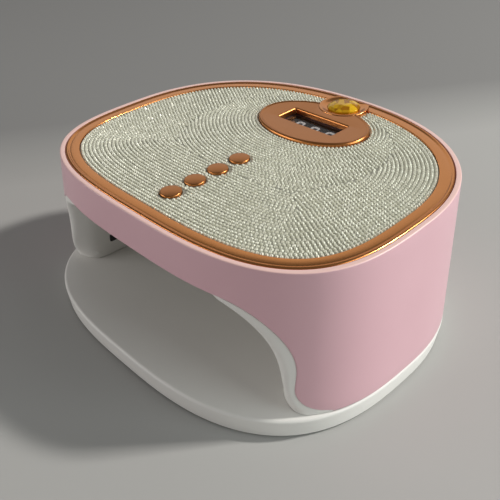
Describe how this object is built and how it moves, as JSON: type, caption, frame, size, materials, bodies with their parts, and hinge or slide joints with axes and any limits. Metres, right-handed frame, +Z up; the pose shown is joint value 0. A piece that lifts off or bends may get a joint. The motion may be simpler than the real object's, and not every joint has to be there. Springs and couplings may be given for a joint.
{
  "type": "uv led nail lamp",
  "caption": "Oval table-top nail lamp with an arched hand tunnel, crystal-set sloping lid with plated trim, timer buttons and digit window, and a lift-off base plate.",
  "frame": {"origin": "on the table top under the centre of the base plate", "axes": "+Z up, +Y to the back where the power inlet is, -Y to the hand opening, +X to the right hand"},
  "size_m": [0.23, 0.201, 0.1023],
  "materials": {
    "pink_plastic": "satin-gloss moulded ABS, pale pink",
    "white_plastic": "satin moulded ABS, warm white",
    "rose_gold_plating": "rose-gold vacuum plating on ABS, polished",
    "crystal_panel": "silver-backed cut resin stones set close on a thin plate",
    "smoked_lens": "dark smoked acrylic, polished",
    "amber_jewel": "faceted amber resin, polished",
    "black_plastic": "moulded black plastic",
    "circuit_board": "glass-fibre circuit board with green solder mask",
    "led_board": "white-masked board with clear LED lenses",
    "bright_steel": "bright plated steel",
    "grey_rubber": "soft dark grey rubber"
  },
  "bodies": {
    "base": {"base_plate": "white_plastic", "rubber_foot_1": "grey_rubber", "rubber_foot_2": "grey_rubber", "rubber_foot_3": "grey_rubber", "rubber_foot_4": "grey_rubber", "base_magnet_left": "bright_steel", "base_magnet_right": "bright_steel"},
    "lamp_head": {"outer_shell": "pink_plastic", "inner_shell": "white_plastic", "trim_ring": "rose_gold_plating", "crystal_panel": "crystal_panel", "display_bezel": "rose_gold_plating", "display_window": "smoked_lens", "display_module": "black_plastic", "jewel_setting": "rose_gold_plating", "jewel": "amber_jewel", "control_board": "circuit_board", "led_board_roof": "led_board", "led_board_left": "led_board", "led_board_right": "led_board", "hand_sensor_left": "black_plastic", "hand_sensor_right": "black_plastic", "power_board": "circuit_board", "power_inlet": "black_plastic", "head_magnet_left": "bright_steel", "head_magnet_right": "bright_steel", "switch_body_1": "bright_steel", "switch_body_2": "bright_steel", "switch_body_3": "bright_steel", "switch_body_4": "bright_steel", "board_screw_1": "bright_steel", "board_screw_2": "bright_steel", "board_screw_3": "bright_steel", "board_screw_4": "bright_steel", "case_screw_1": "bright_steel", "case_screw_2": "bright_steel", "case_screw_3": "bright_steel", "case_screw_4": "bright_steel", "power_screw_1": "bright_steel", "power_screw_2": "bright_steel"},
    "button_1": {"timer_button_1": "rose_gold_plating", "switch_plunger_1": "black_plastic"},
    "button_2": {"timer_button_2": "rose_gold_plating", "switch_plunger_2": "black_plastic"},
    "button_3": {"timer_button_3": "rose_gold_plating", "switch_plunger_3": "black_plastic"},
    "button_4": {"timer_button_4": "rose_gold_plating", "switch_plunger_4": "black_plastic"}
  },
  "joints": [
    {"name": "head_lift", "type": "slide", "parent": "base", "child": "lamp_head", "axis": [0, 0, 1], "range_m": [0, 0.03]},
    {"name": "button_1_press", "type": "slide", "parent": "lamp_head", "child": "button_1", "axis": [0, 0, -1], "range_m": [0, 0.0006], "stiffness_N_per_m": 3000},
    {"name": "button_2_press", "type": "slide", "parent": "lamp_head", "child": "button_2", "axis": [0, 0, -1], "range_m": [0, 0.0006], "stiffness_N_per_m": 3000},
    {"name": "button_3_press", "type": "slide", "parent": "lamp_head", "child": "button_3", "axis": [0, 0, -1], "range_m": [0, 0.0006], "stiffness_N_per_m": 3000},
    {"name": "button_4_press", "type": "slide", "parent": "lamp_head", "child": "button_4", "axis": [0, 0, -1], "range_m": [0, 0.0006], "stiffness_N_per_m": 3000}
  ]
}
